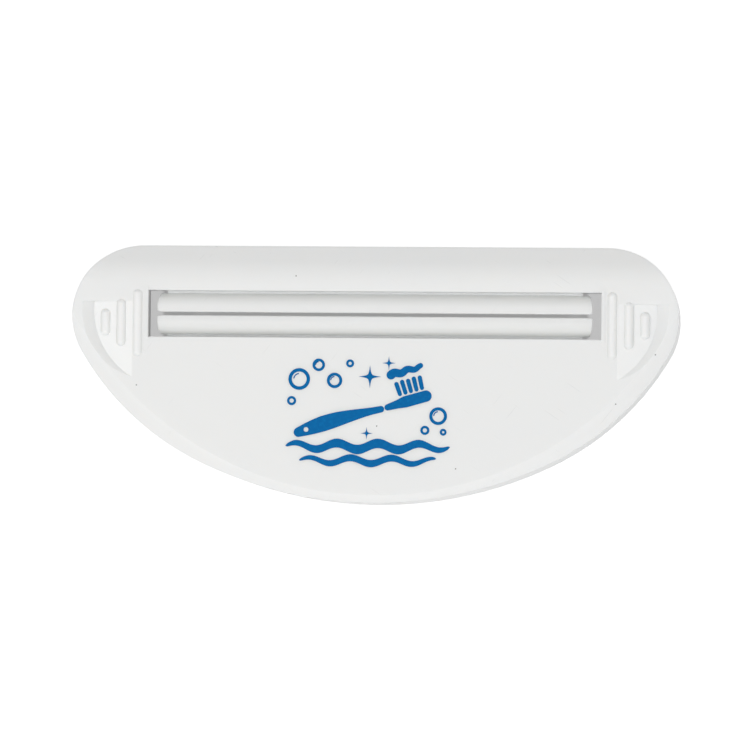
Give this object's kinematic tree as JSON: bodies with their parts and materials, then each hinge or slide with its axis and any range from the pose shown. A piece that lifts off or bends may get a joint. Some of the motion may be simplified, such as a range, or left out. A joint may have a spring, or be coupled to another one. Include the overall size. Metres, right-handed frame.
{
  "type": "toothpaste tube squeezer",
  "caption": "Half-moon toothpaste tube squeezer with an open back, ribbed finger dishes and a long slit between flexing lips on film hinges.",
  "frame": {"origin": "middle of the bounding box at the back rim, so z = 0 is the plane that it rests on", "axes": "+X along the slit, to the right seen from the front; +Y across the slit, towards the straight top edge; +Z out of the face"},
  "size_m": [0.1072, 0.0456, 0.0145],
  "materials": {
    "shell": "white moulded polypropylene, satin gloss",
    "lips": "white moulded polypropylene, satin gloss",
    "film_hinges": "white moulded polypropylene, thin and slightly translucent"
  },
  "bodies": {
    "shell": {"body_shell": "shell", "upper_film_hinge": "film_hinges", "lower_film_hinge": "film_hinges"},
    "upper_lip_body": {"upper_lip": "lips"},
    "lower_lip_body": {"lower_lip": "lips"}
  },
  "joints": [
    {"name": "upper_lip_flex", "type": "hinge", "parent": "shell", "child": "upper_lip_body", "pos_m": [0, 0.0143, 0.01215], "axis": [-1, 0, 0], "range_deg": [0, 12], "stiffness_Nm_per_rad": 1.09, "deforming": ["upper_film_hinge"]},
    {"name": "lower_lip_flex", "type": "hinge", "parent": "shell", "child": "lower_lip_body", "pos_m": [0, 0.0066, 0.01215], "axis": [1, 0, 0], "range_deg": [0, 12], "stiffness_Nm_per_rad": 1.09, "deforming": ["lower_film_hinge"]}
  ]
}
